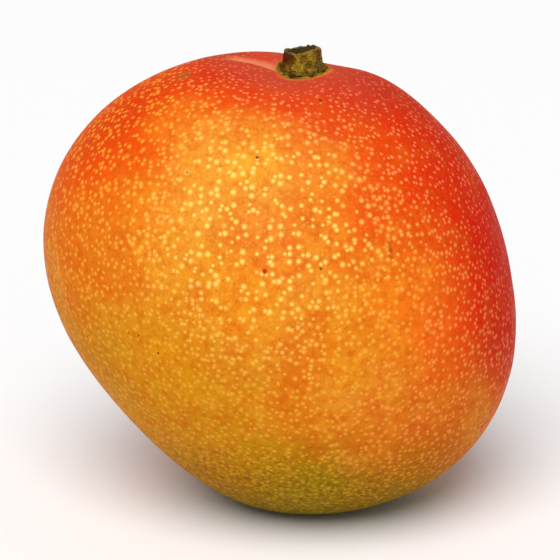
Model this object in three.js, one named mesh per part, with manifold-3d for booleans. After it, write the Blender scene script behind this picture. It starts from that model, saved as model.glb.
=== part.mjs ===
// A whole ripe mango with its stem stub, standing on the small flat spot at its lower end.
// Millimetres, +Z up. The front cheek faces -Y, and the fruit is fullest on the +X side.
// The origin is on the table, under the middle of the whole fruit.
import * as THREE from "three";
import { mergeVertices } from "three/addons/utils/BufferGeometryUtils.js";
import Module from "manifold-3d";

const wasm = await Module();
wasm.setup();

const GAP = 0.3; // clear space kept between the stub and the flesh round it
const radians = THREE.MathUtils.degToRad;

// Fruit. Its broad outline is a circle with a few low waves round it, each a number of lobes, their
// height, and where the first crest is in degrees clockwise from the stem, seen from the front.
const MEAN_RADIUS = 51.2;
const THICKNESS = 86;
const OUTLINE_WAVES = [
  { lobes: 2, height: 4.0, crest: -43.4 }, // long from the left shoulder to the right cheek
  { lobes: 3, height: 1.24, crest: 43.2 }, // straight lower left flank
  { lobes: 4, height: 0.58, crest: 26.8 },
  { lobes: 5, height: 0.31, crest: -22.7 },
];
const UPPER_FULLNESS = 0.03; // the cheeks are thicker above the middle by this share
const FRONT_FULLNESS = 0.012; // and the front cheek is fuller than the back one

// Swells and hollows at the stem end and the lower end: how far from the middle line, how high, how wide.
const SWELLS = [
  { end: 1, x: -1, y: -9, height: -2.6, wide: 8, deep: 9 }, // hollow before the stub, which stands in it
  { end: 1, x: 9, y: 12, height: -1.3, wide: 7, deep: 9 }, // eased away behind it
  { end: 1, x: 33, y: 0, height: -0.8, wide: 9, deep: 18 }, // eased right shoulder
  { end: 1, x: -7, y: -0.5, height: -0.6, wide: 7, deep: 3.5 }, // crease running left from it
  { end: -1, x: -9, y: 0, height: 1.0, wide: 7, deep: 14 }, // blunt beak beside the lower end
  { end: -1, x: 15, y: 0, height: -0.7, wide: 9, deep: 16 }, // eased away on the other side
];

// Resting spot: how far the middle is above the table, and how soft the flattened spot's rim is.
const MIDDLE_HEIGHT = 50.6;
const RIM_SOFTNESS = 0.7;
const SKIN_CELLS = 28; // squares along each edge of the cube that the skin is rounded from

// Stem stub: a woody peg with a scaly collar at its foot and a plain root sunk in the flesh.
const STEM = { x: 3.4, y: -3.5 };
const ROOT_RADIUS = 3.2;
const ROOT_DEPTH = 4;
const COLLAR_RADIUS = 5.5;
const COLLAR_THICKNESS = 0.6;
const FOOT_RADIUS = 4.25;
const TOP_RADIUS = 3.9;
const STUB_HEIGHT = 3.95;
const CUT_DEPTH = 0.8; // hollow of the broken end
const STUB_SIDES = 48;
const LEAN = { x: -0.06, y: 0.21 }; // the skin slopes down to the front, but the peg stands upright
const BREAK_SLOPE = { x: 0.07, y: -0.27 }; // and its broken end is nearly level
const CHIP = { at: 245, width: 36, depth: 0.6 }; // degrees round from +X; the chip out of the rim
const RIBS = { count: 7, height: 0.12 };
const SCALES = { count: 9, height: 0.28 };

// The clear height of a point of the fruit, with all that would be under the table pressed flat on it.
function pressedFlat(height) {
  if (height <= -RIM_SOFTNESS) return 0;
  if (height >= RIM_SOFTNESS) return height;
  return (height + RIM_SOFTNESS) ** 2 / (4 * RIM_SOFTNESS);
}

// The point of the skin in a direction from the fruit's middle, or of a skin that much further out.
function skinPoint(direction, further = 0) {
  const { x, y, z } = direction;
  const across = Math.hypot(x, z);
  const turn = Math.atan2(x, z);
  let radius = MEAN_RADIUS + further;
  for (const { lobes, height, crest } of OUTLINE_WAVES)
    radius += height * across ** lobes * Math.cos(lobes * (turn - radians(crest)));
  for (const swell of SWELLS.filter(({ end }) => end * z > 0)) {
    const dx = (MEAN_RADIUS * x - swell.x) / swell.wide;
    const dy = (MEAN_RADIUS * y - swell.y) / swell.deep;
    radius += swell.height * Math.exp(-dx * dx - dy * dy);
  }
  const flattened = THICKNESS / 2 / MEAN_RADIUS;
  const fullness = 1 + UPPER_FULLNESS * z - FRONT_FULLNESS * y;
  return new THREE.Vector3(
    radius * x,
    radius * y * flattened * fullness,
    pressedFlat(radius * z + MIDDLE_HEIGHT),
  );
}

// The whole skin as a closed surface: a cube's squares, rounded evenly to a ball and then to the fruit.
function skinGeometry(further = 0) {
  const geometry = new THREE.BoxGeometry(2, 2, 2, SKIN_CELLS, SKIN_CELLS, SKIN_CELLS);
  const positions = geometry.getAttribute("position");
  const even = (side) => Math.tan((side * Math.PI) / 4);
  for (let i = 0; i < positions.count; i++) {
    const direction = new THREE.Vector3().fromBufferAttribute(positions, i);
    direction.set(even(direction.x), even(direction.y), even(direction.z)).normalize();
    positions.setXYZ(i, ...skinPoint(direction, further).toArray());
  }
  return geometry;
}

// The stub's foot on the skin, as a frame whose Z stands square to the skin there.
function stubFrame() {
  const direction = (dx, dy) => {
    const x = (STEM.x + dx) / MEAN_RADIUS;
    const y = (STEM.y + dy) / MEAN_RADIUS;
    return new THREE.Vector3(x, y, Math.sqrt(1 - x * x - y * y));
  };
  const reach = COLLAR_RADIUS;
  const alongX = skinPoint(direction(reach, 0)).sub(skinPoint(direction(-reach, 0)));
  const alongY = skinPoint(direction(0, reach)).sub(skinPoint(direction(0, -reach)));
  const up = alongX.cross(alongY).normalize();
  const turn = new THREE.Quaternion().setFromUnitVectors(new THREE.Vector3(0, 0, 1), up);
  const size = new THREE.Vector3(1, 1, 1);
  return new THREE.Matrix4().compose(skinPoint(direction(0, 0)), turn, size);
}

// The stub's outline turned round its own axis, from the root's end up to the middle of the broken end.
function stubGeometry() {
  const below = -2.2; // the collar reaches this far under the foot, and is then cut to the skin
  const outline = [
    [0, -ROOT_DEPTH],
    [ROOT_RADIUS, -ROOT_DEPTH],
    [ROOT_RADIUS, below],
    [COLLAR_RADIUS, below],
    [COLLAR_RADIUS, COLLAR_THICKNESS * 0.6],
    [COLLAR_RADIUS - 0.4, COLLAR_THICKNESS],
    [FOOT_RADIUS + 0.1, COLLAR_THICKNESS + 0.1],
    [FOOT_RADIUS - 0.1, STUB_HEIGHT * 0.3],
    [FOOT_RADIUS - 0.2, STUB_HEIGHT * 0.52],
    [TOP_RADIUS + 0.1, STUB_HEIGHT * 0.78],
    [TOP_RADIUS, STUB_HEIGHT - 0.35],
    [TOP_RADIUS - 0.35, STUB_HEIGHT],
    [TOP_RADIUS * 0.7, STUB_HEIGHT - CUT_DEPTH * 0.6],
    [TOP_RADIUS * 0.35, STUB_HEIGHT - CUT_DEPTH],
    [0, STUB_HEIGHT - CUT_DEPTH],
  ].map(([radius, height]) => new THREE.Vector2(radius, height));
  const geometry = new THREE.LatheGeometry(outline, STUB_SIDES).rotateX(Math.PI / 2);
  const positions = geometry.getAttribute("position");
  for (let i = 0; i < positions.count; i++) {
    const point = new THREE.Vector3().fromBufferAttribute(positions, i);
    positions.setXYZ(i, ...worn(point).toArray());
  }
  return geometry;
}

// A point of the plain turned stub, moved for the scales of the collar, the ribs, the chip and the lean.
function worn(point) {
  const radius = Math.hypot(point.x, point.y);
  if (radius < 1e-6 && point.z < 0) return point;
  const angle = Math.atan2(point.y, point.x);
  const height = point.z;
  let wider = 0;
  if (height > COLLAR_THICKNESS) wider = RIBS.height * Math.sin(RIBS.count * angle);
  else if (radius > ROOT_RADIUS + 0.1) wider = SCALES.height * Math.sin(SCALES.count * angle);
  const onRim = THREE.MathUtils.smoothstep(height, STUB_HEIGHT * 0.6, STUB_HEIGHT * 0.9);
  const fromChip = Math.cos(angle - radians(CHIP.at)) - 1;
  const chipped = CHIP.depth * Math.exp(fromChip / (1 - Math.cos(radians(CHIP.width))));
  const share = radius > 1e-6 ? (radius + wider) / radius : 1;
  const raised = Math.max(0, height);
  const slope = BREAK_SLOPE.x * point.x + BREAK_SLOPE.y * point.y;
  const atRim = chipped * Math.min(1, radius / TOP_RADIUS);
  const broken = height + onRim * (slope - atRim);
  return point.set(point.x * share + LEAN.x * raised, point.y * share + LEAN.y * raised, broken);
}

// A closed solid from a geometry, placed by a matrix.
function solid(geometry, matrix = new THREE.Matrix4()) {
  const corners = new THREE.BufferGeometry();
  corners.setAttribute("position", geometry.getAttribute("position"));
  corners.setIndex(geometry.getIndex());
  const { attributes, index } = mergeVertices(corners.applyMatrix4(matrix), 1e-4);
  return new wasm.Manifold(
    new wasm.Mesh({
      numProp: 3,
      vertProperties: attributes.position.array,
      triVerts: new Uint32Array(index.array),
    }),
  );
}

// A plain round peg for the root or its hole, standing on the stub's axis.
function rootPeg(radius, depth, height) {
  const peg = new THREE.CylinderGeometry(radius, radius, depth + height, STUB_SIDES);
  return peg.rotateX(Math.PI / 2).translate(0, 0, (height - depth) / 2);
}

function namedMesh(name, shape, look) {
  const { numProp, vertProperties, triVerts } = shape.getMesh();
  const geometry = new THREE.BufferGeometry();
  const corners = new THREE.InterleavedBuffer(vertProperties, numProp);
  geometry.setAttribute("position", new THREE.InterleavedBufferAttribute(corners, 3, 0));
  geometry.setIndex(new THREE.BufferAttribute(triVerts, 1));
  const mesh = new THREE.Mesh(geometry.toNonIndexed(), new THREE.MeshStandardMaterial(look));
  mesh.geometry.computeVertexNormals();
  mesh.name = name;
  return mesh;
}

const stubPlace = stubFrame();
const hole = solid(rootPeg(ROOT_RADIUS + GAP, ROOT_DEPTH + GAP, 4), stubPlace);
const throughFlesh = solid(rootPeg(ROOT_RADIUS + GAP / 2, ROOT_DEPTH + GAP, 4), stubPlace);
const flesh = solid(skinGeometry()).subtract(hole);
const clearOfFlesh = solid(skinGeometry(GAP)).subtract(throughFlesh);
const stub = solid(stubGeometry(), stubPlace).subtract(clearOfFlesh);

const mango = new THREE.Group();
mango.add(
  namedMesh("fruit", flesh, { color: 0xe8701c, roughness: 0.42, metalness: 0 }),
  namedMesh("stem_stub", stub, { color: 0x5f5222, roughness: 0.85, metalness: 0 }),
);
const middle = new THREE.Box3().setFromObject(mango).getCenter(new THREE.Vector3());
mango.position.set(-middle.x, -middle.y, 0);

export default mango;
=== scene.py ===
import math
import random

import bmesh
import bpy
from mathutils import Matrix, Vector, noise
from mathutils.bvhtree import BVHTree


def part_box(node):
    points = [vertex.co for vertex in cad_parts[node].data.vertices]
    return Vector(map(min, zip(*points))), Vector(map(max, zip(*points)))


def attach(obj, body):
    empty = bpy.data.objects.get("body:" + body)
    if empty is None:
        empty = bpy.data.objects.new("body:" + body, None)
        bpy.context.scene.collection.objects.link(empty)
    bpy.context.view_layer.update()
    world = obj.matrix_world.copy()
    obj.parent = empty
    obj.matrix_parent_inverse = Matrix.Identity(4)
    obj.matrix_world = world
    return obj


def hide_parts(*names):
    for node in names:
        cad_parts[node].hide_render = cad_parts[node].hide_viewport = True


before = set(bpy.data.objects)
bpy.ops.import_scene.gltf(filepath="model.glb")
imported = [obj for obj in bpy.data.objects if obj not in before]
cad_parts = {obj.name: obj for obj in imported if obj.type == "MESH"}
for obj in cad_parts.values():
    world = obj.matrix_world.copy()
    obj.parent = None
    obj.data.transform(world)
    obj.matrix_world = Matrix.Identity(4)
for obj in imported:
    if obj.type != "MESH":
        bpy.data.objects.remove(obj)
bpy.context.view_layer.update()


# Camera
# A long lens looks 18 degrees down on the front cheek from 45 cm away. It aims a hair to the left
# of the fruit's middle, so that the mango fills the picture as it does on a packshot.
MM = 0.001
FRUIT_MIDDLE = Vector((1.28, 0.52, 50.6)) * MM
CAMERA_HEIGHT_ANGLE = math.radians(18)
CAMERA_DISTANCE = 0.45
CAMERA_LENS = 131.5
CAMERA_AIM = Vector((-1.5, 0.33)) * MM

towards_camera = Vector((0, -math.cos(CAMERA_HEIGHT_ANGLE), math.sin(CAMERA_HEIGHT_ANGLE)))
camera_up = Vector((0, math.sin(CAMERA_HEIGHT_ANGLE), math.cos(CAMERA_HEIGHT_ANGLE)))
aim = FRUIT_MIDDLE + Vector((CAMERA_AIM.x, 0, 0)) + camera_up * CAMERA_AIM.y
camera = bpy.data.objects.new("camera", bpy.data.cameras.new("camera"))
camera.data.lens = CAMERA_LENS
camera.data.clip_start = 0.02
camera.location = aim + towards_camera * CAMERA_DISTANCE
camera.rotation_euler = (math.pi / 2 - CAMERA_HEIGHT_ANGLE, 0, 0)
bpy.context.scene.collection.objects.link(camera)
bpy.context.scene.camera = camera
bpy.context.scene.view_settings.view_transform = "Standard"


# Floor and light
# The mango stands on a large sheet of white board. One broad soft light hangs high over the camera,
# a little to the left, and the white room fills in the rest.
FLOOR_SIZE = 12
FLOOR_WHITE = (0.88, 0.88, 0.88, 1)
ROOM_LIGHT = 0.35
SOFT_LIGHT_HEIGHT_ANGLE = math.radians(55)
SOFT_LIGHT_TO_LEFT = math.radians(12)
SOFT_LIGHT_STRENGTH = 3.0
SOFT_LIGHT_SPREAD = math.radians(45)


def add_node(tree, kind, inputs=None, **settings):
    """A new node with these settings, each named input linked or given its value."""
    node = tree.nodes.new(kind)
    for name, value in settings.items():
        setattr(node, name, value)
    for name, value in (inputs or {}).items():
        if isinstance(value, bpy.types.NodeSocket):
            tree.links.new(value, node.inputs[name])
        else:
            node.inputs[name].default_value = value
    return node


def new_material(name, **constants):
    """A material with one Principled shader, whose named sockets hold these constants."""
    material = bpy.data.materials.new(name)
    material.use_nodes = True
    shader = material.node_tree.nodes["Principled BSDF"]
    for socket, value in constants.items():
        shader.inputs[socket.replace("_", " ")].default_value = value
    return material, material.node_tree, shader


def finished_object(name, mesh_work, material):
    """The finished mesh as a smooth object at the origin."""
    bmesh.ops.recalc_face_normals(mesh_work, faces=mesh_work.faces)
    for face in mesh_work.faces:
        face.smooth = True
    mesh = bpy.data.meshes.new(name)
    mesh_work.to_mesh(mesh)
    mesh_work.free()
    mesh.materials.append(material)
    made = bpy.data.objects.new(name, mesh)
    bpy.context.scene.collection.objects.link(made)
    return made


floor_mesh = bmesh.new()
bmesh.ops.create_grid(floor_mesh, x_segments=1, y_segments=1, size=FLOOR_SIZE / 2)
floor_look, _, _ = new_material("white_board", Base_Color=FLOOR_WHITE, Roughness=0.9)
finished_object("white_board", floor_mesh, floor_look)

room = bpy.data.worlds.new("room")
room.use_nodes = True
room.node_tree.nodes["Background"].inputs["Color"].default_value = (1, 1, 1, 1)
room.node_tree.nodes["Background"].inputs["Strength"].default_value = ROOM_LIGHT
bpy.context.scene.world = room

soft_light = bpy.data.objects.new("soft_light", bpy.data.lights.new("soft_light", "SUN"))
soft_light.data.energy = SOFT_LIGHT_STRENGTH
soft_light.data.angle = SOFT_LIGHT_SPREAD
soft_light.rotation_euler = (math.pi / 2 - SOFT_LIGHT_HEIGHT_ANGLE, 0, -SOFT_LIGHT_TO_LEFT)
bpy.context.scene.collection.objects.link(soft_light)


# Fruit
# A whole ripe mango in its leathery waxed skin. It is grown, not made: a broad ball pressed from
# front and back, hollowed round the stem, with a blunt beak low on the left and a flat spot below.
# Sizes are in millimetres until the mesh is finished.
MEAN_RADIUS = 51.2
THICKNESS = 86
OUTLINE_WAVES = [
    # lobes, height, first crest in degrees clockwise from the stem
    (2, 4.0, -43.4),
    (3, 1.24, 43.2),
    (4, 0.58, 26.8),
    (5, 0.31, -22.7),
]
UPPER_FULLNESS = 0.03  # the cheeks are thicker above the middle by this share
FRONT_FULLNESS = 0.012  # and the front cheek is fuller than the back one
STEM_AT = (3.4, -3.5)
SWELLS = [
    # end, across, back, height, wide, deep
    (1, -1, -9, -2.6, 8, 9),  # hollow before the stem
    (1, 9, 12, -1.3, 7, 9),  # eased away behind it
    (1, 33, 0, -0.8, 9, 18),  # eased right shoulder
    (1, -7, -0.5, -0.6, 7, 3.5),  # crease running left from the stem
    (-1, -9, 0, 1.0, 7, 14),  # blunt beak beside the lower end
    (-1, 15, 0, -0.7, 9, 16),  # eased away on the other side
]
MIDDLE_HEIGHT = 50.6
RIM_SOFTNESS = 0.7
SKIN_CUTS = 119
SKIN_RELIEF = [
    # size of the lumps, height of the lumps
    (26, 0.22),
    (9, 0.08),
    (4, 0.025),
]
# A fold in the skin runs left from the stem. Behind its lip the skin lies lower and is painted
# paler, a painted sheen where it catches the light.
FOLD_MIDDLE = Vector((-7.5, -2.7, 49))
FOLD_HALF_LENGTH = 8.5
FOLD_BACKWARDS = Vector((0.347, 0.938, 0))
FOLD_DEPTH = 0.3
FOLD_WIDTH = 4.2
FOLD_SOFTNESS = 0.7  # half the width of the lip's slope


def pressed_flat(height):
    """The height over the table, with what would be under it pressed flat on it."""
    if height <= -RIM_SOFTNESS:
        return 0
    if height >= RIM_SOFTNESS:
        return height
    return (height + RIM_SOFTNESS) ** 2 / (4 * RIM_SOFTNESS)


def skin_point(direction, lumps=0):
    """The point of the skin in a direction from the fruit's middle, over the table."""
    x, y, z = direction
    across = math.hypot(x, z)
    turn = math.atan2(x, z)
    radius = MEAN_RADIUS + lumps
    for lobes, height, crest in OUTLINE_WAVES:
        radius += height * across**lobes * math.cos(lobes * (turn - math.radians(crest)))
    for end, at_x, at_y, height, wide, deep in SWELLS:
        if end * z > 0:
            dx = (MEAN_RADIUS * x - at_x) / wide
            dy = (MEAN_RADIUS * y - at_y) / deep
            radius += height * math.exp(-dx * dx - dy * dy)
    flattened = THICKNESS / 2 / MEAN_RADIUS
    fullness = 1 + UPPER_FULLNESS * z - FRONT_FULLNESS * y
    return Vector(
        (radius * x, radius * y * flattened * fullness, pressed_flat(radius * z + MIDDLE_HEIGHT))
    )


def upper_skin(x, y):
    """The direction from the fruit's middle to the upper skin that far across and back."""
    x, y = x / MEAN_RADIUS, y / MEAN_RADIUS
    return Vector((x, y, math.sqrt(1 - x * x - y * y)))


def smooth(value, start, end):
    """A smooth step from 0 at start to 1 at end."""
    share = max(0.0, min(1.0, (value - start) / (end - start)))
    return share * share * (3 - 2 * share)


def fold_depth(place):
    """How much lower the fold leaves the skin at a place from the fruit's middle."""
    from_lip = place - FOLD_MIDDLE
    behind = from_lip.dot(FOLD_BACKWARDS)
    along = smooth(from_lip.length, FOLD_HALF_LENGTH, FOLD_HALF_LENGTH * 0.4)
    across = smooth(behind, -FOLD_SOFTNESS, FOLD_SOFTNESS)
    across *= smooth(behind, FOLD_WIDTH, FOLD_WIDTH * 0.3)
    return FOLD_DEPTH * along * across


skin_mesh = bmesh.new()
bmesh.ops.create_cube(skin_mesh, size=2)
bmesh.ops.subdivide_edges(
    skin_mesh, edges=skin_mesh.edges[:], cuts=SKIN_CUTS, use_grid_fill=True
)
for corner in skin_mesh.verts:
    direction = Vector([math.tan(side * math.pi / 4) for side in corner.co]).normalized()
    lumps = 0
    for size, height in SKIN_RELIEF:
        lumps += height * noise.noise(direction * (MEAN_RADIUS / size))
    corner.co = skin_point(direction, lumps)
    corner.co.z -= fold_depth(corner.co - Vector((0, 0, MIDDLE_HEIGHT)))
    corner.co *= MM

# The formula's middle is put over the middle of the fruit in the frame.
low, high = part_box("fruit")
made_low = Vector([min(corner.co[i] for corner in skin_mesh.verts) for i in range(3)])
made_high = Vector([max(corner.co[i] for corner in skin_mesh.verts) for i in range(3)])
to_frame = (Vector(low) + Vector(high) - made_low - made_high) / 2
to_frame.z = 0
bmesh.ops.translate(skin_mesh, verts=skin_mesh.verts, vec=to_frame)
skin_surface = BVHTree.FromBMesh(skin_mesh)
fruit_middle = to_frame + Vector((0, 0, MIDDLE_HEIGHT * MM))
stem_skin = skin_point(upper_skin(*STEM_AT)) - Vector((0, 0, MIDDLE_HEIGHT))


def paint(red, green, blue):
    """A paint-chart colour, 0 to 255, as the linear colour that shaders use."""
    channels = [value / 255 for value in (red, green, blue)]
    return (*[c / 12.92 if c <= 0.04045 else ((c + 0.055) / 1.055) ** 2.4 for c in channels], 1)


def new_group(name, inputs, outputs):
    """A shader node group with these sockets. Inputs are name: default, outputs are name: kind."""
    group = bpy.data.node_groups.new(name, "ShaderNodeTree")
    for socket_name, value in inputs.items():
        kind = "NodeSocketVector" if value is None else "NodeSocketFloat"
        socket = group.interface.new_socket(name=socket_name, in_out="INPUT", socket_type=kind)
        if value is not None:
            socket.default_value = value
    for socket_name in outputs:
        group.interface.new_socket(
            name=socket_name, in_out="OUTPUT", socket_type="NodeSocketFloat"
        )
    return group, group.nodes.new("NodeGroupInput"), group.nodes.new("NodeGroupOutput")


def maths(tree, operation, first, second=0.0):
    """One step of arithmetic on numbers or sockets."""
    node = add_node(tree, "ShaderNodeMath", operation=operation)
    for socket, value in zip(node.inputs, (first, second)):
        if isinstance(value, bpy.types.NodeSocket):
            tree.links.new(value, socket)
        else:
            socket.default_value = value
    return node.outputs[0]


def fade(tree, value, start, end, to_start=0.0, to_end=1.0):
    """A smooth step from to_start, where the value is at start, to to_end at end."""
    node = add_node(
        tree,
        "ShaderNodeMapRange",
        {"Value": value, "From Min": start, "From Max": end, "To Min": to_start, "To Max": to_end},
        interpolation_type="SMOOTHSTEP",
    )
    return node.outputs["Result"]


def mix(tree, share, under, over):
    """The colour over laid on the colour under, by a share."""
    node = add_node(tree, "ShaderNodeMix", data_type="RGBA")
    for index, value in ((0, share), (6, under), (7, over)):
        if isinstance(value, bpy.types.NodeSocket):
            tree.links.new(value, node.inputs[index])
        else:
            node.inputs[index].default_value = value
    return node.outputs[2]


# Round soft dots on a surface: points scattered through space, each shown as a dot where it lies
# close enough under or over the skin. The core is its bright middle, and the halo reaches its edge.
dots_group, entry, leave = new_group(
    "round_dots",
    {"Vector": None, "Normal": None, "Spacing": 2.0, "Radius": 0.5, "Variety": 0.5},
    ["Halo", "Core"],
)
spacing = entry.outputs["Spacing"]
scatter = add_node(
    dots_group,
    "ShaderNodeTexVoronoi",
    {
        "Vector": entry.outputs["Vector"],
        "Scale": maths(dots_group, "DIVIDE", 1.0, spacing),
        "Randomness": 0.85,
    },
)
from_point = add_node(
    dots_group,
    "ShaderNodeVectorMath",
    {0: entry.outputs["Vector"], 1: scatter.outputs["Position"]},
    operation="SUBTRACT",
)
depth = add_node(
    dots_group,
    "ShaderNodeVectorMath",
    {0: from_point.outputs[0], 1: entry.outputs["Normal"]},
    operation="DOT_PRODUCT",
).outputs["Value"]
distance = add_node(
    dots_group, "ShaderNodeVectorMath", {0: from_point.outputs[0]}, operation="LENGTH"
).outputs["Value"]
sideways = maths(
    dots_group,
    "SUBTRACT",
    maths(dots_group, "MULTIPLY", distance, distance),
    maths(dots_group, "MULTIPLY", depth, depth),
)
away = maths(dots_group, "SQRT", maths(dots_group, "MAXIMUM", sideways, 0.0))
chance = add_node(dots_group, "ShaderNodeSeparateColor", {"Color": scatter.outputs["Color"]})
smaller = maths(dots_group, "MULTIPLY", chance.outputs["Red"], entry.outputs["Variety"])
reach = maths(
    dots_group,
    "MULTIPLY",
    entry.outputs["Radius"],
    maths(dots_group, "SUBTRACT", 1.0, smaller),
)
shallow = fade(
    dots_group,
    maths(dots_group, "ABSOLUTE", depth),
    maths(dots_group, "MULTIPLY", spacing, 0.4),
    maths(dots_group, "MULTIPLY", spacing, 0.3),
)
halo = fade(dots_group, away, reach, maths(dots_group, "MULTIPLY", reach, 0.2))
softness = maths(dots_group, "DIVIDE", away, maths(dots_group, "MULTIPLY", reach, 0.42))
core = maths(
    dots_group,
    "EXPONENT",
    maths(dots_group, "MULTIPLY", maths(dots_group, "MULTIPLY", softness, softness), -1.0),
)
dots_group.links.new(maths(dots_group, "MULTIPLY", halo, shallow), leave.inputs["Halo"])
dots_group.links.new(maths(dots_group, "MULTIPLY", core, shallow), leave.inputs["Core"])

# Cloudy blotches of one size, from a threshold up.
blotch_group, entry, leave = new_group(
    "blotches", {"Vector": None, "Size": 10.0, "Low": 0.4, "High": 0.6}, ["Mask"]
)
cloud = add_node(
    blotch_group,
    "ShaderNodeTexNoise",
    {
        "Vector": entry.outputs["Vector"],
        "Scale": maths(blotch_group, "DIVIDE", 1.0, entry.outputs["Size"]),
        "Detail": 3.0,
        "Roughness": 0.55,
    },
)
blotch_group.links.new(
    fade(blotch_group, cloud.outputs["Fac"], entry.outputs["Low"], entry.outputs["High"]),
    leave.inputs["Mask"],
)


def placed_group(tree, group, inputs):
    """A node group placed in a material with its own values."""
    node = add_node(tree, "ShaderNodeGroup", node_tree=group)
    for name, value in inputs.items():
        if isinstance(value, bpy.types.NodeSocket):
            tree.links.new(value, node.inputs[name])
        else:
            node.inputs[name].default_value = value
    return node


def dots(tree, place, normal, spacing, radius, variety):
    """The halo and the core of round dots, in millimetres."""
    inputs = {"Vector": place, "Normal": normal, "Spacing": spacing}
    inputs.update({"Radius": radius, "Variety": variety})
    node = placed_group(tree, dots_group, inputs)
    return node.outputs["Halo"], node.outputs["Core"]


def blotches(tree, place, size, low, high):
    """Cloudy blotches of a size, from none where the cloud is low to full where it is high."""
    inputs = {"Vector": place, "Size": size, "Low": low, "High": high}
    return placed_group(tree, blotch_group, inputs).outputs["Mask"]


def nearness(tree, place, centre, full, none):
    """1 within full millimetres of a centre, down to 0 at none."""
    away = add_node(tree, "ShaderNodeVectorMath", operation="DISTANCE")
    tree.links.new(place, away.inputs[0])
    away.inputs[1].default_value = centre
    return fade(tree, away.outputs["Value"], none, full)


GROUND_ORANGE = paint(222, 112, 22)
GROUND_GOLD = paint(224, 138, 36)
# Broad soft patches of the ground colour. Places are in millimetres from the fruit's middle.
COLOUR_PATCHES = [
    # colour, share, centre, full within, faded out by
    (paint(198, 136, 12), 0.85, (-26, -30, -20), 14, 42),  # ochre of the lower left
    (paint(230, 134, 24), 0.6, (22, -37, 6), 5, 18),  # orange glow right of the middle
    (paint(222, 148, 34), 0.75, (-20, -36, 17), 4, 15),  # gold left of the middle
    (paint(226, 142, 26), 0.7, (11, -41, 1), 3, 12),  # gold in the middle
    (paint(212, 94, 8), 0.6, (-38, -26, 16), 3, 12),  # orange near the left edge
    (paint(224, 66, 10), 0.9, (-34, -8, 43), 16, 33),  # orange-red left shoulder
    (paint(214, 48, 12), 0.95, (4, -4, 51), 18, 36),  # orange-red round the stem
    (paint(228, 78, 14), 0.8, (22, -31, 29), 4, 22),  # red-orange right of the sunny patch
    (paint(220, 38, 6), 1.0, (54, 0, 26), 30, 58),  # red cheek on the right
    (paint(206, 8, 0), 0.9, (52, -12, 4), 15, 33),  # its deepest part
    (paint(204, 36, 10), 0.9, (38, -10, 40), 6, 26),  # red right shoulder
    (paint(210, 50, 8), 0.9, (12, 50, 16), 30, 62),  # red of the far cheek
    (paint(222, 122, 22), 0.55, (-30, -28, 27), 3, 13),  # orange under the left shoulder
    # Partly painted highlight: the sunny patch is the skin's own gold, brightened where the soft
    # light falls on the upper middle.
    (paint(224, 150, 46), 0.9, (-12, -34, 31), 6, 20),  # sunny patch over the middle
    (paint(222, 150, 52), 0.4, (4, -31, 35), 3, 13),  # its right side
    (paint(226, 110, 38), 0.55, (-3, -39, 23), 3, 13),  # salmon patch under it
    # Painted shade: the brown, ochre and olive low on the fruit are its own colours painted darker
    # towards the bottom, where the light falls off.
    (paint(176, 100, 6), 0.8, (28, -22, -38), 6, 24),  # brown of the lower right
    (paint(170, 120, 3), 0.9, (2, -16, -52), 18, 46),  # dull ochre of the lower end
    (paint(112, 116, 2), 0.9, (8, -4, -56), 16, 40),  # olive underside
    (paint(142, 138, 4), 0.6, (3, -33, -32), 3, 18),  # olive flush over it
]
# Smaller flushes over them, which keep closer to their places.
FLUSHES = [
    # colour, share, centre, full within, faded out by
    # Painted highlight: the yellow lights are brighter gold where the soft light falls.
    (paint(230, 134, 32), 0.55, (-23, -20, 41), 3, 10),  # yellow lights over the sunny patch
    (paint(236, 172, 40), 0.5, (-7, -31.5, 36), 2, 8),
    (paint(234, 152, 28), 0.5, (-8, -42.8, 7.8), 3, 12),  # and under it
    (paint(218, 144, 16), 0.5, (-25, -36.5, -7.5), 4, 14),  # light in the ochre
    (paint(190, 136, 6), 0.5, (-5.2, -35.1, -28), 4, 13),
    (paint(208, 40, 10), 0.5, (-28.5, -11, 44), 3, 12),  # red of the left shoulder's rim
    (paint(206, 44, 8), 0.5, (-37, -11.7, 38.2), 3, 12),
    (paint(194, 28, 18), 0.6, (-13, -8.5, 48.7), 2, 10),  # crimson before the fold
    # Painted reflection: the pinkish grey behind the fold stands for its sheen.
    (paint(170, 54, 44), 0.5, (-13, 3, 49), 3, 9),  # behind the fold
    (paint(190, 36, 18), 0.5, (14, -11, 45.5), 4, 14),  # and before the stem
    (paint(186, 28, 14), 0.5, (21, -3, 44.5), 4, 14),
    (paint(228, 98, 24), 0.5, (3, -31, 36), 2, 8),  # salmon flecks in the gold
    (paint(214, 98, 12), 0.5, (3.6, -43.4, 1.8), 2, 9),
    (paint(246, 108, 18), 0.5, (27, -35.5, 8), 5, 16),  # glow before the red cheek
    (paint(228, 38, 4), 0.5, (36.5, -28, 8), 3, 12),  # front edge of the red cheek
    (paint(242, 72, 8), 0.55, (33, -33, -3), 4, 14),
]
# Where the skin is otherwise marked or coloured: centre, full within, faded out by.
RIGHT_RED = ((46, 8, 36), 26, 62)
STEM_RED = (stem_skin, 12, 34)
FAR_RED = ((12, 50, 16), 22, 54)
DEEP_RED = ((56, -8, 4), 16, 34)
SUNNY = ((-4, -36, 23), 12, 34)
GOLDEN_MIDDLE = ((-4, -36, 4), 22, 52)
OCHRE_SIDE = ((-26, -30, -22), 12, 36)
WARM_SIDE = ((38, -24, -12), 12, 38)
LOWER_END = ((0, -10, -52), 16, 50)
# Where a pale pinkish sheen is painted round the stem.
SHEEN_ROUND_STEM = (stem_skin, 6, 24)

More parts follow.
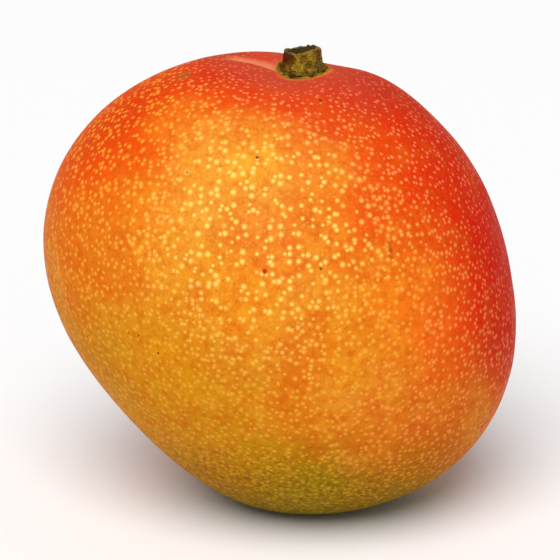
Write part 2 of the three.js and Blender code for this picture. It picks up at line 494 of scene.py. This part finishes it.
BRICK = paint(210, 78, 8)
DARK_BRICK = paint(204, 70, 6)
GOLDEN = paint(232, 158, 36)
DUSKY_BROWN = paint(126, 74, 4)
NET_BROWN = paint(120, 66, 2)
PORE_ORANGE = paint(236, 166, 50)
PORE_YELLOW = paint(250, 214, 104)
PORE_SALMON = paint(252, 140, 98)
PORE_RED = paint(240, 100, 50)
PORE_PEACH = paint(250, 146, 80)
PORE_OCHRE = paint(216, 162, 44)
# Painted sheen colours: the pink round the stem and the salmon behind the fold's lip.
STEM_SHEEN_PINK = paint(184, 70, 54)
FOLD_SHEEN_SALMON = paint(230, 138, 98)
COLLAR_YELLOW = paint(204, 132, 30)
COLLAR_SHADE = paint(98, 84, 26)

# Small marks on the skin, each snapped to it.
MARKS = [
    # colour, share, centre, full within, faded out by
    (paint(60, 26, 6), 0.9, (-6.1, -31.2, 36.2), 0.15, 0.5),  # pin pricks
    (paint(226, 160, 70), 0.7, (-20.2, -30.8, 33.1), 0.5, 0.9),
    (paint(96, 60, 20), 0.7, (-20.2, -30.8, 33.1), 0.12, 0.36),
    (paint(180, 36, 10), 0.95, (-4.6, -41.8, 15.7), 0.3, 0.7),
    (paint(84, 44, 10), 0.85, (6.6, -41.1, 16), 0.15, 0.45),
    (paint(130, 40, 12), 0.6, (-32.5, -33.7, -0.1), 0.1, 0.36),
    (paint(130, 40, 12), 0.9, (-30.3, -35.1, -0.1), 0.1, 0.36),
    (paint(130, 30, 10), 0.9, (-26.3, -36.9, -3.3), 0.12, 0.4),
    (paint(80, 8, 8), 0.95, (6.8, -17.9, 44.9), 0.15, 0.5),
    (paint(150, 64, 6), 0.5, (20.4, -35.6, 19.4), 0.2, 0.9),  # scratches
    (paint(136, 64, 6), 0.65, (20.6, -36, 18.3), 0.2, 0.9),
    (paint(150, 64, 6), 0.5, (20.7, -36.5, 17.1), 0.2, 0.9),
    (paint(140, 66, 14), 0.45, (-33.4, -21.6, 35.2), 0.1, 0.6),
    (paint(140, 66, 14), 0.45, (-32.6, -22.4, 34.6), 0.1, 0.6),
    (paint(140, 66, 14), 0.45, (-31.8, -23.2, 34), 0.1, 0.6),
    (paint(128, 96, 28), 0.5, (-21.8, -6.7, 47.7), 0.8, 2.6),  # rub beside the stem
]

skin_look, skin_tree, skin_shader = new_material("mango_skin", IOR=1.08)
object_place = add_node(skin_tree, "ShaderNodeTexCoord").outputs["Object"]
place = add_node(
    skin_tree,
    "ShaderNodeMapping",
    {"Vector": object_place, "Location": fruit_middle / -MM, "Scale": (1 / MM,) * 3},
).outputs["Vector"]


def drifted(tree, place, size, by):
    """The place, pushed about by a cloud of that size, so that edges wander."""
    cloud = add_node(
        tree, "ShaderNodeTexNoise", {"Vector": place, "Scale": 1 / size, "Detail": 2.0}
    )
    centred = add_node(
        tree,
        "ShaderNodeVectorMath",
        {0: cloud.outputs["Color"], 1: (0.5, 0.5, 0.5)},
        operation="SUBTRACT",
    )
    pushed = add_node(
        tree, "ShaderNodeVectorMath", {0: centred.outputs[0], "Scale": by * 2}, operation="SCALE"
    )
    moved = add_node(
        tree, "ShaderNodeVectorMath", {0: place, 1: pushed.outputs[0]}, operation="ADD"
    )
    return moved.outputs[0]


def times(tree, *values):
    """All the values multiplied."""
    product = values[0]
    for value in values[1:]:
        product = maths(tree, "MULTIPLY", product, value)
    return product


def most(tree, *values):
    """The largest of the values."""
    largest = values[0]
    for value in values[1:]:
        largest = maths(tree, "MAXIMUM", largest, value)
    return largest


drifting = drifted(skin_tree, place, size=14, by=7)
wandering = drifted(skin_tree, place, size=4, by=1.6)
golden_ground = blotches(skin_tree, place, size=13, low=0.42, high=0.6)
skin_colour = mix(skin_tree, golden_ground, GROUND_ORANGE, GROUND_GOLD)
for patches, patch_place in ((COLOUR_PATCHES, drifting), (FLUSHES, wandering)):
    for colour, share, centre, full, none in patches:
        near = nearness(skin_tree, patch_place, centre, full, none)
        skin_colour = mix(skin_tree, times(skin_tree, near, share), skin_colour, colour)

redness = most(
    skin_tree,
    nearness(skin_tree, drifting, *RIGHT_RED),
    nearness(skin_tree, drifting, *STEM_RED),
    nearness(skin_tree, drifting, *FAR_RED),
)
deep_red = nearness(skin_tree, drifting, *DEEP_RED)
sunny = nearness(skin_tree, drifting, *SUNNY)
ochre_side = nearness(skin_tree, drifting, *OCHRE_SIDE)
underneath = nearness(skin_tree, place, *LOWER_END)

# Cloudy mottling: brick-orange blotches, golden ones, and dusky grain that is strongest low down.
above_the_end = fade(skin_tree, underneath, start=0.6, end=0.1)
off_the_ochre = fade(skin_tree, ochre_side, 0.0, 1.0, to_start=1.0, to_end=0.35)
brick = blotches(skin_tree, place, size=8, low=0.44, high=0.74)
brick = times(skin_tree, brick, 0.45, above_the_end, off_the_ochre)
skin_colour = mix(skin_tree, brick, skin_colour, BRICK)
golden = blotches(skin_tree, drifting, size=5, low=0.44, high=0.74)
golden = times(skin_tree, golden, 0.4, nearness(skin_tree, drifting, *GOLDEN_MIDDLE))
skin_colour = mix(skin_tree, golden, skin_colour, GOLDEN)
small_brick = blotches(skin_tree, place, size=2.2, low=0.42, high=0.7)
small_brick = times(skin_tree, small_brick, 0.34, above_the_end)
skin_colour = mix(skin_tree, small_brick, skin_colour, DARK_BRICK)
dusky = blotches(skin_tree, place, size=1.1, low=0.44, high=0.64)
duskier_below = fade(skin_tree, underneath, 0.0, 0.8, to_start=0.17, to_end=1.0)
dusky = times(skin_tree, dusky, 0.65, duskier_below)
skin_colour = mix(skin_tree, dusky, skin_colour, DUSKY_BROWN)

# A fine dark net between the pores, strongest towards the lower end. Its lines are creases in the
# relief as well, and their dark is partly the skin's own net and partly painted crease shade.
cells = add_node(
    skin_tree,
    "ShaderNodeTexVoronoi",
    {"Vector": drifted(skin_tree, place, size=1.2, by=0.4), "Scale": 0.8},
    feature="DISTANCE_TO_EDGE",
)
net = fade(skin_tree, cells.outputs["Distance"], start=0.16, end=0.0)
stronger_below = fade(skin_tree, underneath, 0.0, 0.8, to_start=0.08, to_end=0.5)
net = times(skin_tree, net, stronger_below)
skin_colour = mix(skin_tree, net, skin_colour, NET_BROWN)

# Lenticels, the skin's pores: large yellow ones in the sunny middle, small close ones elsewhere.
normal = add_node(skin_tree, "ShaderNodeTexCoord").outputs["Normal"]
warm_side = times(skin_tree, nearness(skin_tree, drifting, *WARM_SIDE), 0.7)
pore_colour = mix(skin_tree, sunny, PORE_ORANGE, PORE_YELLOW)
for share, colour in (
    (redness, PORE_SALMON),
    (deep_red, PORE_RED),
    (warm_side, PORE_PEACH),
    (underneath, PORE_OCHRE),
):
    pore_colour = mix(skin_tree, share, pore_colour, colour)
small_radius = fade(skin_tree, redness, 0.2, 0.8, to_start=0.88, to_end=0.66)
big_halo, big_core = dots(skin_tree, place, normal, spacing=1.8, radius=0.96, variety=0.45)
small_halo, small_core = dots(
    skin_tree, place, normal, spacing=1.42, radius=small_radius, variety=0.45
)
_, tiny_core = dots(skin_tree, place, normal, spacing=0.95, radius=0.5, variety=0.5)
big_here = fade(skin_tree, sunny, start=0.25, end=0.6)
small_here = fade(skin_tree, sunny, start=0.7, end=0.35)
halos = most(
    skin_tree,
    times(skin_tree, big_halo, big_here),
    times(skin_tree, small_halo, small_here),
)
cores = most(
    skin_tree,
    times(skin_tree, big_core, big_here),
    times(skin_tree, small_core, small_here),
    times(skin_tree, tiny_core, 0.25),
)
core_share = times(
    skin_tree,
    fade(skin_tree, underneath, 0.0, 0.9, to_start=0.75, to_end=0.28),
    fade(skin_tree, redness, 0.3, 1.0, to_start=1.0, to_end=0.95),
    fade(skin_tree, ochre_side, 0.0, 1.0, to_start=1.0, to_end=0.75),
)
core_share = most(skin_tree, core_share, times(skin_tree, sunny, 0.95))
skin_colour = mix(skin_tree, times(skin_tree, halos, 0.34), skin_colour, pore_colour)
skin_colour = mix(skin_tree, times(skin_tree, cores, core_share), skin_colour, pore_colour)

shaken = drifted(skin_tree, place, size=1.5, by=0.25)
for colour, share, centre, full, none in MARKS:
    on_skin = skin_surface.find_nearest(fruit_middle + Vector(centre) * MM)[0]
    near = nearness(skin_tree, shaken, (on_skin - fruit_middle) / MM, full, none)
    skin_colour = mix(skin_tree, times(skin_tree, near, share), skin_colour, colour)

# Painted sheen: round the stem the skin is painted a pale dull pink, and behind the fold's lip a
# pale salmon, where the skin catches the light.
stem_sheen = times(skin_tree, nearness(skin_tree, drifting, *SHEEN_ROUND_STEM), 0.55)
skin_colour = mix(skin_tree, stem_sheen, skin_colour, STEM_SHEEN_PINK)
from_lip = add_node(
    skin_tree,
    "ShaderNodeVectorMath",
    {0: drifted(skin_tree, place, size=4, by=0.5), 1: FOLD_MIDDLE},
    operation="SUBTRACT",
)
behind_lip = add_node(
    skin_tree,
    "ShaderNodeVectorMath",
    {0: from_lip.outputs[0], 1: FOLD_BACKWARDS},
    operation="DOT_PRODUCT",
).outputs["Value"]
folded = times(
    skin_tree,
    nearness(skin_tree, place, FOLD_MIDDLE, FOLD_HALF_LENGTH * 0.4, FOLD_HALF_LENGTH),
    fade(skin_tree, behind_lip, start=-0.3, end=0.4),
    fade(skin_tree, behind_lip, start=FOLD_WIDTH, end=FOLD_WIDTH * 0.3),
)
# Painted sheen: the pale salmon band behind the fold's lip.
skin_colour = mix(skin_tree, times(skin_tree, folded, 0.75), skin_colour, FOLD_SHEEN_SALMON)

# Right beside the collar it stays yellow-green, and it is dark under the collar's edge.
patchy = blotches(skin_tree, place, size=4, low=0.35, high=0.6)
beside = times(
    skin_tree,
    nearness(skin_tree, drifted(skin_tree, place, size=3, by=0.6), stem_skin, 5.5, 7.0),
    fade(skin_tree, patchy, 0, 1, to_start=0.25, to_end=0.85),
)
skin_colour = mix(skin_tree, beside, skin_colour, COLLAR_YELLOW)
under_collar = nearness(
    skin_tree, drifted(skin_tree, place, size=2, by=0.4), stem_skin, 5.0, 6.0
)
skin_colour = mix(skin_tree, under_collar, skin_colour, COLLAR_SHADE)

# Relief too fine for the mesh, in millimetres: peel grain, raised pores, the net, the fold's edge,
# and wrinkles towards the lower end.
grain = add_node(skin_tree, "ShaderNodeTexNoise", {"Vector": place, "Scale": 1.4, "Detail": 4.0})
squeezed = add_node(
    skin_tree, "ShaderNodeMapping", {"Vector": drifting, "Scale": (0.35, 0.6, 1.0)}
).outputs["Vector"]
wrinkles = add_node(
    skin_tree,
    "ShaderNodeTexNoise",
    {"Vector": squeezed, "Scale": 0.9, "Detail": 4.0, "Roughness": 0.6},
)
wrinkle_height = fade(skin_tree, underneath, 0.0, 1.0, to_start=0.07, to_end=0.42)
relief = times(skin_tree, grain.outputs["Fac"], 0.05)
for raised in (
    times(skin_tree, cores, 0.03),
    times(skin_tree, wrinkles.outputs["Fac"], wrinkle_height),
    times(skin_tree, net, -0.12),
    times(skin_tree, folded, -0.12),
):
    relief = maths(skin_tree, "ADD", relief, raised)
bump = add_node(
    skin_tree,
    "ShaderNodeBump",
    {"Height": times(skin_tree, relief, MM), "Distance": 1.0, "Strength": 0.8},
)
waxy = blotches(skin_tree, place, size=5, low=0.3, high=0.7)
roughness = fade(skin_tree, waxy, 0.0, 1.0, to_start=0.42, to_end=0.55)
skin_tree.links.new(bump.outputs["Normal"], skin_shader.inputs["Normal"])
skin_tree.links.new(roughness, skin_shader.inputs["Roughness"])
skin_tree.links.new(skin_colour, skin_shader.inputs["Base Color"])

fruit = finished_object("mango_skin", skin_mesh, skin_look)
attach(fruit, "root")
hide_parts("fruit")


# Stem peg
# What is left of the stalk after picking: a short woody peg in rough olive-brown bark, snapped off
# square, with a hollow in the break and a chip out of its rim. Its foot sinks into the fruit.
STUB_REACH = 5.5
LEAN = (-0.06, 0.21)
BREAK_SLOPE = (0.07, -0.27)
STUB_HEIGHT = 3.95
TOP_RADIUS = 3.9
PEG_OUTLINE = [
    # radius, height over the skin
    (3.4, -2.0),
    (5.2, -1.2),
    (5.25, -0.1),
    (4.9, 0.2),
    (4.42, 0.1),
    (4.2, 0.3),
    (4.24, 0.75),
    (4.15, 1.35),
    (4.06, 2.05),
    (3.98, 2.9),
    (3.92, 3.45),
    (3.8, 3.8),
    (3.57, 3.95),
    (3.25, 3.85),
    (2.75, 3.45),
    (1.7, 3.15),
    (0, 3.05),
]
COLLAR_FROM = 4.3  # from this radius outwards the foot spreads over the skin
PEG_SIDES = 120
CHIP_AT = math.radians(245)
CHIP_WIDTH = math.radians(36)
CHIP_DEPTH = 0.6
RIB_COUNT = 7
RIB_HEIGHT = 0.1
RIB_TWIST = 0.6  # radians to the millimetre of height
BREAK_TEARS = 0.42  # how far the rim is torn up and down
WOOD_GRAIN = 0.3  # and the wood in the hollow
WOOD_LEFT = 0.4  # more wood is left standing in the right half of the hollow
COLLAR_RAGS = [
    # height, closeness, where the noise is cut
    (0.32, 0.9, 0),
    (0.16, 2.6, 4),
]
BARK_LUMPS = [
    # height, closeness, stretch along the peg, where the noise starts
    (0.24, 0.85, 0.6, (0, 0, 0)),
    (0.16, 2.1, 0.6, (9, 0, 0)),
    (0.08, 4.5, 0.5, (0, 7, 0)),
]


def beside_stem(dx, dy):
    """The skin that far across and back from the middle of the stem."""
    return skin_point(upper_skin(STEM_AT[0] + dx, STEM_AT[1] + dy))


def step(value, start, end):
    """A straight step from 0 at start to 1 at end."""
    return max(0.0, min(1.0, (value - start) / (end - start)))


along_x = beside_stem(STUB_REACH, 0) - beside_stem(-STUB_REACH, 0)
along_y = beside_stem(0, STUB_REACH) - beside_stem(0, -STUB_REACH)
stub_up = along_x.cross(along_y).normalized()
stub_foot = to_frame / MM + beside_stem(0, 0)
stub_turn = Vector((0, 0, 1)).rotation_difference(stub_up).to_matrix().to_4x4()
stub_place = Matrix.Scale(MM, 4) @ Matrix.Translation(stub_foot) @ stub_turn


def skin_height(x, y):
    """How high the skin lies over the stub's foot, in the stub's own frame."""
    start = stub_place @ Vector((x, y, 8))
    hit = skin_surface.ray_cast(start, -stub_up)[0]
    return (stub_place.inverted() @ hit).z


peg_mesh = bmesh.new()
outline = [peg_mesh.verts.new((radius, 0, height)) for radius, height in PEG_OUTLINE]
steps = [peg_mesh.edges.new(pair) for pair in zip(outline, outline[1:])]
bmesh.ops.subdivide_edges(peg_mesh, edges=steps, cuts=3)
bmesh.ops.spin(
    peg_mesh,
    geom=peg_mesh.verts[:] + peg_mesh.edges[:],
    cent=(0, 0, 0),
    axis=(0, 0, 1),
    angle=math.tau,
    steps=PEG_SIDES,
    use_merge=True,
)
bmesh.ops.remove_doubles(peg_mesh, verts=peg_mesh.verts[:], dist=0.001)
open_edges = [edge for edge in peg_mesh.edges if edge.is_boundary]
bmesh.ops.holes_fill(peg_mesh, edges=open_edges, sides=0)
broken = peg_mesh.verts.layers.float.new("broken")
torn_wood = peg_mesh.verts.layers.float.new("torn_wood")
torn_rim = peg_mesh.verts.layers.float.new("torn_rim")
crevice = peg_mesh.verts.layers.float.new("crevice")
# The masks tell the bark's material where the break, its wood and rim, and the crevice are.
for corner in peg_mesh.verts:
    x, y, z = corner.co
    radius, angle = math.hypot(x, y), math.atan2(y, x)
    high = step(z, STUB_HEIGHT * 0.55, STUB_HEIGHT * 0.9)
    inside = step(radius, 3.65, 3.1) * step(z, STUB_HEIGHT - 1.7, STUB_HEIGHT - 1.2)
    torn = noise.noise(Vector((x, y, 3)) * 0.9)
    corner[broken] = inside
    corner[torn_wood] = inside * step(x, 0, 1.2)
    corner[torn_rim] = step(z, STUB_HEIGHT - 0.35, STUB_HEIGHT - 0.05) * step(torn, -0.35, 0.1)
    corner[crevice] = step(abs(radius - 4.55), 0.6, 0.2) * step(z, 1.1, 0.25)
    if radius > COLLAR_FROM:
        ragged = 0
        for height, closeness, cut in COLLAR_RAGS:
            ragged += height * noise.noise(Vector((x, y, cut)) * closeness)
        wider = 1 + ragged * step(radius, COLLAR_FROM, 5.2) / radius
        corner.co = (x * wider, y * wider, z + skin_height(x * wider, y * wider) + 0.3 * ragged)
        continue
    if z < 0:
        continue
    lumps = RIB_HEIGHT * math.sin(RIB_COUNT * angle + RIB_TWIST * z)
    for height, closeness, along, start in BARK_LUMPS:
        lumps += height * noise.noise(Vector((x, y, z * along)) * closeness + Vector(start))
    lumps *= (1 - inside) * step(z, 0, 0.4)
    if radius > 0.1:
        corner.co.x += x / radius * lumps
        corner.co.y += y / radius * lumps
    from_chip = (math.cos(angle - CHIP_AT) - 1) / (1 - math.cos(CHIP_WIDTH))
    corner.co.z -= CHIP_DEPTH * math.exp(from_chip) * high * min(1, radius / TOP_RADIUS)
    corner.co.z += (BREAK_SLOPE[0] * x + BREAK_SLOPE[1] * y + BREAK_TEARS * torn) * high
    grain = noise.noise(Vector((x, y, 5)) * 1.9)
    corner.co.z += inside * (WOOD_GRAIN * grain + WOOD_LEFT * step(x, 0, 1.4))
    corner.co.x += LEAN[0] * z
    corner.co.y += LEAN[1] * z
bmesh.ops.transform(peg_mesh, matrix=stub_place, verts=peg_mesh.verts)

BARK_OLIVE = paint(162, 133, 33)
BARK_BROWN = paint(110, 78, 12)
BARK_RED_BROWN = paint(80, 34, 2)
BARK_CRACK = paint(38, 26, 3)
BARK_FLECK = paint(192, 168, 74)
BARK_RELIEF = 0.5
BREAK_DARK = paint(24, 16, 2)
BREAK_BROWN = paint(76, 48, 6)
BREAK_PALE = paint(176, 158, 96)
RED_BROWN_PATCHES = [
    # share, centre over the stem's foot, full within, faded out by
    (1, (-4.4, -2.6, 3.6), 1.8, 4.4),
    (0.6, (3, -3, 5), 1, 3),
]


def bark(name, ground, brown):
    """Rough dry bark in mottled browns, with cracks and flecks, and its colour to add to."""
    look, tree, shader = new_material(name, Roughness=0.8, Specular_IOR_Level=0.12)
    place = add_node(
        tree,
        "ShaderNodeMapping",
        {
            "Vector": add_node(tree, "ShaderNodeTexCoord").outputs["Object"],
            "Location": stub_foot * -1,
            "Scale": (1 / MM,) * 3,
        },
    ).outputs["Vector"]
    mottled = blotches(tree, place, size=1.9, low=0.42, high=0.6)
    colour = mix(tree, mottled, ground, brown)
    flattened = add_node(tree, "ShaderNodeMapping", {"Vector": place, "Scale": (1, 1, 2.2)})
    flattened = drifted(tree, flattened.outputs["Vector"], size=0.9, by=0.25)
    cracks = blotches(tree, flattened, size=0.8, low=0.5, high=0.66)
    colour = mix(tree, times(tree, cracks, 0.36), colour, BARK_CRACK)
    flecks = blotches(tree, place, size=0.42, low=0.58, high=0.7)
    colour = mix(tree, times(tree, flecks, 0.38), colour, BARK_FLECK)
    coarse = add_node(tree, "ShaderNodeTexNoise", {"Vector": place, "Scale": 1.3, "Detail": 5.0})
    height = maths(tree, "SUBTRACT", coarse.outputs["Fac"], times(tree, cracks, 0.35))
    bump = add_node(
        tree, "ShaderNodeBump", {"Height": times(tree, height, BARK_RELIEF * MM), "Distance": 1.0}
    )
    tree.links.new(bump.outputs["Normal"], shader.inputs["Normal"])
    return look, tree, shader, place, colour


peg_look, peg_tree, peg_shader, peg_place, peg_colour = bark("stem_bark", BARK_OLIVE, BARK_BROWN)
peg_drifting = drifted(peg_tree, peg_place, size=2, by=0.8)
for share, centre, full, none in RED_BROWN_PATCHES:
    near = nearness(peg_tree, peg_drifting, centre, full, none)
    peg_colour = mix(peg_tree, times(peg_tree, near, share), peg_colour, BARK_RED_BROWN)
for worn, colour, share in (
    ("crevice", BARK_CRACK, 0.7),
    ("broken", BREAK_DARK, 0.85),
    ("torn_wood", BREAK_BROWN, 0.8),
    ("torn_rim", BREAK_PALE, 0.3),
):
    worn_off = add_node(peg_tree, "ShaderNodeAttribute", attribute_name=worn).outputs["Fac"]
    peg_colour = mix(peg_tree, times(peg_tree, worn_off, share), peg_colour, colour)
peg_tree.links.new(peg_colour, peg_shader.inputs["Base Color"])

peg = finished_object("stem_peg", peg_mesh, peg_look)
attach(peg, "root")
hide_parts("stem_stub")


# Collar scales
# Dry scraps of the old flower's base that stand round the peg's foot, as thin as paper and
# curled up at the tip. They grow out of the crevice between the peg and the skin.
SCALE_COUNT = 15
SCALE_THICKNESS = 0.12
SCALE_FOOT = 4.25
SCALE_WIDTH = (1.3, 2.3)
SCALE_LENGTH = (0.6, 1.15)
SCALE_CURL = (0.05, 0.4)
SCALE_BROWN = paint(116, 82, 18)
SCALE_DARK = paint(62, 44, 10)

chance = random.Random(7)
scales_mesh = bmesh.new()
for index in range(SCALE_COUNT):
    angle = math.tau * (index + chance.uniform(-0.3, 0.3)) / SCALE_COUNT
    width = chance.uniform(*SCALE_WIDTH)
    length = chance.uniform(*SCALE_LENGTH)
    curl = chance.uniform(*SCALE_CURL)
    scale_mesh = bmesh.new()
    bmesh.ops.create_grid(scale_mesh, x_segments=6, y_segments=5, size=0.5)
    for corner in scale_mesh.verts:
        out = corner.co.y + 0.5
        side = corner.co.x * width * (1 - 0.6 * out**1.5)
        ragged = 0.16 * noise.noise(Vector((corner.co.x * 5, out * 3, index)))
        reach = SCALE_FOOT + out * length + ragged * out
        x = reach * math.cos(angle) - side * math.sin(angle)
        y = reach * math.sin(angle) + side * math.cos(angle)
        lifted = 0.22 + curl * out**2 + ragged - 0.3 * (1 - out) * abs(corner.co.x)
        corner.co = (x, y, skin_height(x, y) + lifted)
    bmesh.ops.recalc_face_normals(scale_mesh, faces=scale_mesh.faces)
    bmesh.ops.solidify(scale_mesh, geom=scale_mesh.faces[:], thickness=SCALE_THICKNESS)
    bmesh.ops.transform(scale_mesh, matrix=stub_place, verts=scale_mesh.verts)
    one_scale = bpy.data.meshes.new("one_scale")
    scale_mesh.to_mesh(one_scale)
    scale_mesh.free()
    scales_mesh.from_mesh(one_scale)
    bpy.data.meshes.remove(one_scale)

scales_look, scales_tree, scales_shader, _, scales_colour = bark(
    "scale_bark", SCALE_BROWN, SCALE_DARK
)
scales_tree.links.new(scales_colour, scales_shader.inputs["Base Color"])
scales = finished_object("collar_scales", scales_mesh, scales_look)
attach(scales, "root")
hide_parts("stem_stub")
